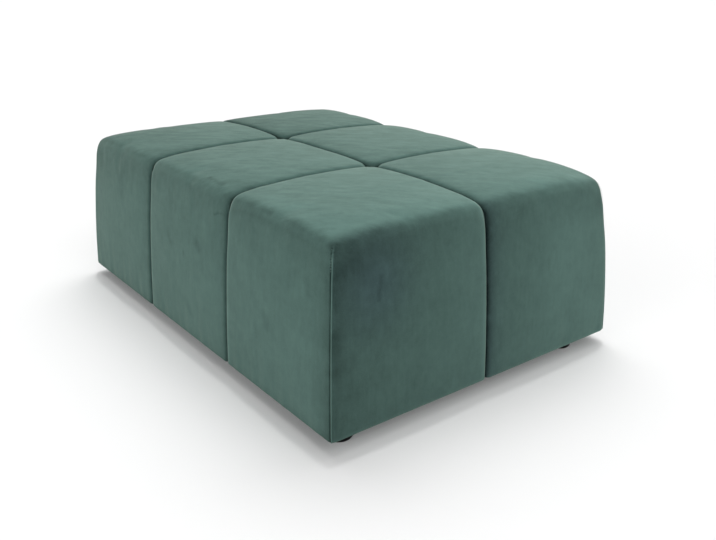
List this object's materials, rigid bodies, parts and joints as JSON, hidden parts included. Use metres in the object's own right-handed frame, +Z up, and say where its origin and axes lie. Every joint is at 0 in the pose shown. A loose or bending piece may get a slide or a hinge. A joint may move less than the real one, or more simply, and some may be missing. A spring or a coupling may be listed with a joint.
{
  "type": "upholstered footstool",
  "caption": "Low rectangular velvet footstool of square padded cushions set in rows, with tight seams between them, stitched upright corners and low round feet.",
  "frame": {"origin": "on the floor, under the middle of the footstool", "axes": "+Z up, +X along the rows of three cushions to the right, +Y across the two rows to the back"},
  "size_m": [1.062, 0.721, 0.3827],
  "materials": {
    "velvet": "short-pile velvet, soft sheen, muted sea green",
    "cover_cloth": "plain black non-woven cloth, dull",
    "foot_plastic": "black moulded plastic, satin"
  },
  "bodies": {
    "root": {"cushion_front_left": "velvet", "cushion_front_middle": "velvet", "cushion_front_right": "velvet", "cushion_back_left": "velvet", "cushion_back_middle": "velvet", "cushion_back_right": "velvet", "underside_cover": "cover_cloth", "foot_front_left": "foot_plastic", "foot_front_right": "foot_plastic", "foot_back_left": "foot_plastic", "foot_back_right": "foot_plastic"}
  },
  "joints": []
}
